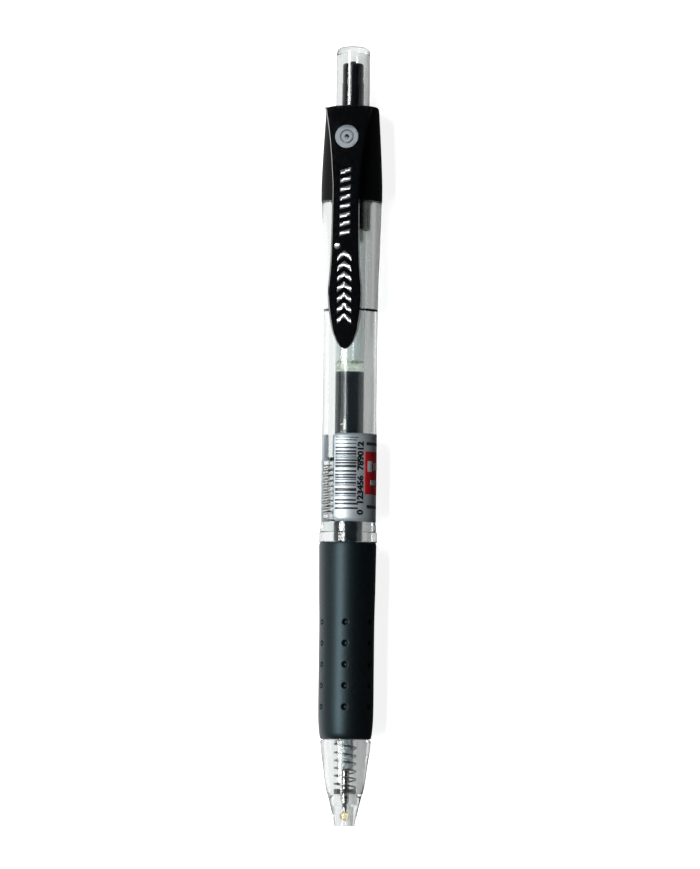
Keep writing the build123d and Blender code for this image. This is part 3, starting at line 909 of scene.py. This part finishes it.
def ink_follower():
    """Grease with a dished top."""
    low = INK_END + 0.02
    dish = smooth_curve([(WET_R, FOLLOWER_END), (1.7, FOLLOWER_END - 0.38), (0.9, FOLLOWER_END - 0.56),
                         (0.0, FOLLOWER_END - 0.6)], 6)
    points = [(0.0, low, 0), (WET_R, low), *sharp(dish[:-1]), (0.0, dish[-1][1], 0)]
    made = piece("ink_follower", turned(rounded(points, 0.05), closed=False), "refill", ["ink_follower"],
                 grease())
    return keep_edges_crisp(made)


def tip_holder():
    """Adapter between the tip and the tube, with a flange for the spring."""
    flange = 29.05
    outside = [(1.2, HOLDER_START, 0.05), (1.45, HOLDER_START + 0.25, 0.1), (1.45, flange, 0.05), (2.5, flange),
               (2.5, TUBE_START - 0.02), (2.28, TUBE_START - 0.02, 0.02), (2.28, HOLDER_END)]
    channel = [(0.5, HOLDER_END), (0.5, 13.3, 0.05), (0.62, 13.3, 0.05), (0.62, HOLDER_START, 0.05)]
    made = piece("tip_holder", turned(rounded([*outside, *channel], 0.1)), "refill", ["tip_holder"],
                 holder_plastic())
    return keep_edges_crisp(made)


def writing_tip():
    """Metal point: ball socket, cone, shank and stem."""
    shank_end = HOLDER_START - 0.02
    socket_r, lip_start = BALL_R + 0.012, TIP_START - BALL_STATION
    lip_turn = math.acos(lip_start / socket_r)
    angles = [lip_turn * step / 10 for step in range(11)]
    socket = [(socket_r * math.sin(a), BALL_STATION + socket_r * math.cos(a), 0) for a in angles]
    cone = [*socket, (0.3, TIP_START, 0.02), (0.79, 5.0, 0.12)]
    stem = [(0.79, shank_end, 0.06), (0.6, shank_end, 0.02), (0.6, TIP_STEM_END, 0.1), (0.0, TIP_STEM_END, 0)]
    made = piece("writing_tip", turned(rounded([*cone, *stem], 0.05), even_turns(96), closed=False), "refill",
                 ["writing_tip"], tip_metal())
    return keep_edges_crisp(made)


def ball_rows(radius, centre, count):
    """Half circle of (radius, station) points from one pole to the other."""
    angles = [math.pi * step / count for step in range(count + 1)]
    rows = [(radius * math.sin(angle), centre - radius * math.cos(angle)) for angle in angles]
    return [(0.0, centre - radius), *rows[1:-1], (0.0, centre + radius)]


def writing_ball():
    """Ball that rolls in the tip."""
    rows = ball_rows(BALL_R, BALL_STATION, 24)
    return piece("writing_ball", turned(rows, even_turns(48), closed=False), "ball", ["writing_ball"],
                 carbide())


def tip_seal():
    """Bead of wax on a new refill's point, slightly pear-shaped."""
    low, high = end_stations("tip_seal")
    radius = widest("tip_seal")
    profile = [(0.0, low), (radius * 0.55, low + 0.13), (radius * 0.9, low + 0.45), (radius, low + 0.85),
               (radius * 0.88, low + 1.25), (radius * 0.62, high - 0.12), (0.42, high)]
    rows = smooth_curve(profile, 6)
    outline = [(0.0, low), *rows[1:], (0.36, high - 0.02), (0.3, TIP_START - 0.02), (0.0, TIP_START - 0.02)]
    made = piece("tip_seal", turned(outline, even_turns(96), closed=False), "refill", ["tip_seal"],
                 amber())
    return made


def return_spring():
    """Left-hand spring with closed coils at both ends, which shortens as the refill comes forward."""
    wire_r, coil_r = 0.15, 1.95
    closed_turns, closed_pitch = (2.5, 2.0), 2 * wire_r + 0.01
    low, high = SPRING_START + wire_r, SPRING_END - wire_r
    open_length = high - low - sum(closed_turns) * closed_pitch
    open_turns = round(open_length / 1.41)
    per_turn, path = 48, []
    total = closed_turns[0] + open_turns + closed_turns[1]
    for step in range(int(total * per_turn) + 1):
        turn = step / per_turn
        first = min(turn, closed_turns[0]) * closed_pitch
        middle = min(max(turn - closed_turns[0], 0), open_turns) / open_turns * open_length
        last = max(turn - closed_turns[0] - open_turns, 0) * closed_pitch
        path.append(spot(coil_r, low + first + middle + last, -turn * FULL_TURN))
    made = piece("return_spring", tube_along(path, wire_r * MM, 12), "front", ["return_spring"],
                 spring_steel())
    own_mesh(made)
    return made


# ---------------------------------------------------------------- inner CAD nodes


def dress(node, material):
    """Give a CAD node its material, joined facets and crisp edges."""
    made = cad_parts[node]
    made.data.materials.clear()
    made.data.materials.append(material)
    weld = made.modifiers.new("weld", "WELD")
    weld.merge_threshold = 1e-6
    made.data.polygons.foreach_set("use_smooth", [True] * len(made.data.polygons))
    keep_edges_crisp(made, 30)


# ---------------------------------------------------------------- studio


VIEW_TURN = math.radians(9.5)
VIEW_TILT = math.radians(3.5)
PEN_LEAN = math.radians(0.68)
FRAME_HEIGHT = 0.15925
CAMERA_DISTANCE = 1.05
AIM_STATION = 71.6
AIM_ASIDE = 0.00018
SENSOR = 36.0

# Floor: its own glow, the glow of its painted shade, and how far the painted shade replaces it. The painted shade
# is a dark emission put where the pen's shadow and dark surround would be. Reflections see it under and right of
# the pen, and past 110 mm along it by the collar and button, as painted shade. Rays through the plastic see the
# floor dimmed by it everywhere and more right of the pen, as a painted shadow. Each shade gives the rays that see
# the painted shade, the axis along which it comes in, the places where it starts and ends, and its share at both.
FLOOR_GLOW = 0.88
PAINTED_SHADE_GLOW = 0.02
PAINTED_FLOOR_SHADES = [("Is Reflection Ray", "Y", (0.009, 0.005), (0.0, 1.0)),
                ("Is Reflection Ray", "X", (0.11, 0.115), (0.0, 0.85)),
                ("Is Transmission Ray", "Y", (0.001, -0.004), (0.37, 0.7))]

# Surround: its strength overhead and on the pen's left, and where it is seen directly
DARK_SIDE = 0.008
BRIGHT_SIDE = 0.3
BACKDROP = 0.9

# Key light: turn in degrees from the clip's side, distance and width in metres
KEY_TURN = -20.5
KEY_DISTANCE = 0.6
KEY_WIDTH = 0.158


def camera():
    """Camera over the pen, a little towards the nose and to the clip's right."""
    back = Vector((-math.sin(VIEW_TILT), -math.cos(VIEW_TILT) * math.sin(VIEW_TURN),
                   math.cos(VIEW_TILT) * math.cos(VIEW_TURN)))
    along = Vector((1, 0, 0))
    straight_up = (along - back * along.dot(back)).normalized()
    straight_right = straight_up.cross(back)
    up = straight_up * math.cos(PEN_LEAN) - straight_right * math.sin(PEN_LEAN)
    right = up.cross(back)
    data = bpy.data.cameras.new("camera")
    data.sensor_width = SENSOR
    data.lens = SENSOR * CAMERA_DISTANCE / FRAME_HEIGHT
    data.clip_start = 0.01
    made = bpy.data.objects.new("camera", data)
    aim = Vector((AIM_STATION * MM, 0, 0)) + right * AIM_ASIDE
    place = aim + back * CAMERA_DISTANCE
    made.matrix_world = Matrix.Translation(place) @ Matrix((right, up, back)).transposed().to_4x4()
    bpy.context.scene.collection.objects.link(made)
    bpy.context.scene.camera = made


def floor_paper():
    """White back-lit floor that, for some rays, turns into painted shade: a dark emission standing in for the
    pen's shadow, as PAINTED_FLOOR_SHADES says.
    """
    material, tree, shader = principled("floor", Roughness=0.8, Emission_Color=(1, 1, 1, 1),
                                        Emission_Strength=FLOOR_GLOW)
    paper = grain_noise(tree, 40.0, 2.0)
    tint(tree, paper.outputs[0], shader.inputs["Base Color"], (0.6, 0.6, 0.6), (0.64, 0.64, 0.64))
    place = tree.nodes.new("ShaderNodeTexCoord")
    split = tree.nodes.new("ShaderNodeSeparateXYZ")
    path = tree.nodes.new("ShaderNodeLightPath")
    tree.links.new(place.outputs["Object"], split.inputs["Vector"])
    amount = None
    for rays, axis, edges, levels in PAINTED_FLOOR_SHADES:
        share = tree.nodes.new("ShaderNodeMath")
        share.operation = "MULTIPLY_ADD"
        share.inputs[2].default_value = 0.0
        tree.links.new(ramp(tree, split.outputs[axis], *edges, *levels), share.inputs[0])
        tree.links.new(path.outputs[rays], share.inputs[1])
        if amount:
            tree.links.new(amount, share.inputs[2])
        amount = share.outputs["Value"]
    # Painted shade: a dark emission that the floor turns into under and beside the pen, standing in for its
    # shadow.
    painted_shade_emission = tree.nodes.new("ShaderNodeEmission")
    painted_shade_emission.inputs["Strength"].default_value = PAINTED_SHADE_GLOW
    mix = tree.nodes.new("ShaderNodeMixShader")
    tree.links.new(amount, mix.inputs["Fac"])
    tree.links.new(shader.outputs["BSDF"], mix.inputs[1])
    tree.links.new(painted_shade_emission.outputs["Emission"], mix.inputs[2])
    tree.links.new(mix.outputs["Shader"], tree.nodes["Material Output"].inputs["Surface"])
    return material


def floor():
    """Pale floor that the pen lies on."""
    size = 3.0
    data = bpy.data.meshes.new("floor")
    mesh = bmesh.new()
    corners = [(-size, -size), (size, -size), (size, size), (-size, size)]
    height = cad_box[0][2]
    mesh.faces.new([mesh.verts.new((x, y, height)) for x, y in corners])
    mesh.to_mesh(data)
    mesh.free()
    data.materials.append(floor_paper())
    made = bpy.data.objects.new("floor", data)
    bpy.context.scene.collection.objects.link(made)


def softbox(name, turn_deg, distance, width, start, end, radiance):
    """Soft rectangular light over the pen between two stations, turned about its axis and facing it."""
    length = (end - start) * MM
    data = bpy.data.lights.new(name, "AREA")
    data.shape = "RECTANGLE"
    data.size = length
    data.size_y = width
    data.energy = radiance * 4 * width * length
    made = bpy.data.objects.new(name, data)
    turn = math.radians(turn_deg)
    back = Vector((0, -math.sin(turn), math.cos(turn)))
    along = Vector((1, 0, 0))
    aside = back.cross(along)
    place = Vector(((start + end) / 2 * MM, 0, 0)) + back * distance
    made.matrix_world = Matrix.Translation(place) @ Matrix((along, aside, back)).transposed().to_4x4()
    bpy.context.scene.collection.objects.link(made)
    return made


def surround():
    """Dark surround that brightens low on the clip's left. Seen directly, or low through plastic, it is pale."""
    world = bpy.data.worlds.new("surround")
    bpy.context.scene.world = world
    world.use_nodes = True
    tree = world.node_tree
    place = tree.nodes.new("ShaderNodeTexCoord")
    split = tree.nodes.new("ShaderNodeSeparateXYZ")
    path = tree.nodes.new("ShaderNodeLightPath")
    tree.links.new(place.outputs["Generated"], split.inputs["Vector"])
    side = ramp(tree, split.outputs["Y"], 0.5, 1.0, DARK_SIDE, BRIGHT_SIDE)
    through = tree.nodes.new("ShaderNodeMix")
    tree.links.new(path.outputs["Is Transmission Ray"], through.inputs["Factor"])
    tree.links.new(side, through.inputs["A"])
    tree.links.new(ramp(tree, split.outputs["Z"], 0.1, 0.35, BACKDROP, DARK_SIDE), through.inputs["B"])
    direct = tree.nodes.new("ShaderNodeMix")
    direct.inputs["B"].default_value = BACKDROP
    tree.links.new(path.outputs["Is Camera Ray"], direct.inputs["Factor"])
    tree.links.new(through.outputs["Result"], direct.inputs["A"])
    tree.links.new(direct.outputs["Result"], tree.nodes["Background"].inputs["Strength"])
    tree.nodes["Background"].inputs["Color"].default_value = (0.97, 0.99, 1.0, 1)


def studio():
    """Key light in three lengths, the middle one dimmer where the ink reflects it, a low left light that stops
    short of the collar, and the surround."""
    for name, start, end, radiance in (("key_low", -190, 108, 12.0), ("key_middle", 108, 128, 1.4),
                                       ("key_high", 128, 400, 10.0)):
        softbox(name, KEY_TURN, KEY_DISTANCE, KEY_WIDTH, start, end, radiance)
    softbox("left", -62.0, 0.7, 0.15, -190, 172, 0.6)
    surround()
    bpy.context.scene.view_settings.view_transform = "Standard"


front_section()
grip_sleeve()
barrel()
barcode_label()
label_print()
clip_collar()
pocket_clip()
clip_print()
size_disc()
knock_button()
refill_tube()
ink_column()
ink_follower()
tip_holder()
writing_tip()
writing_ball()
tip_seal()
return_spring()
for node in ("cam_guide", "index_rotor", "knock_plunger"):
    dress(node, SATIN)
dress("tail_plug", plug_plastic())
floor()
studio()
camera()
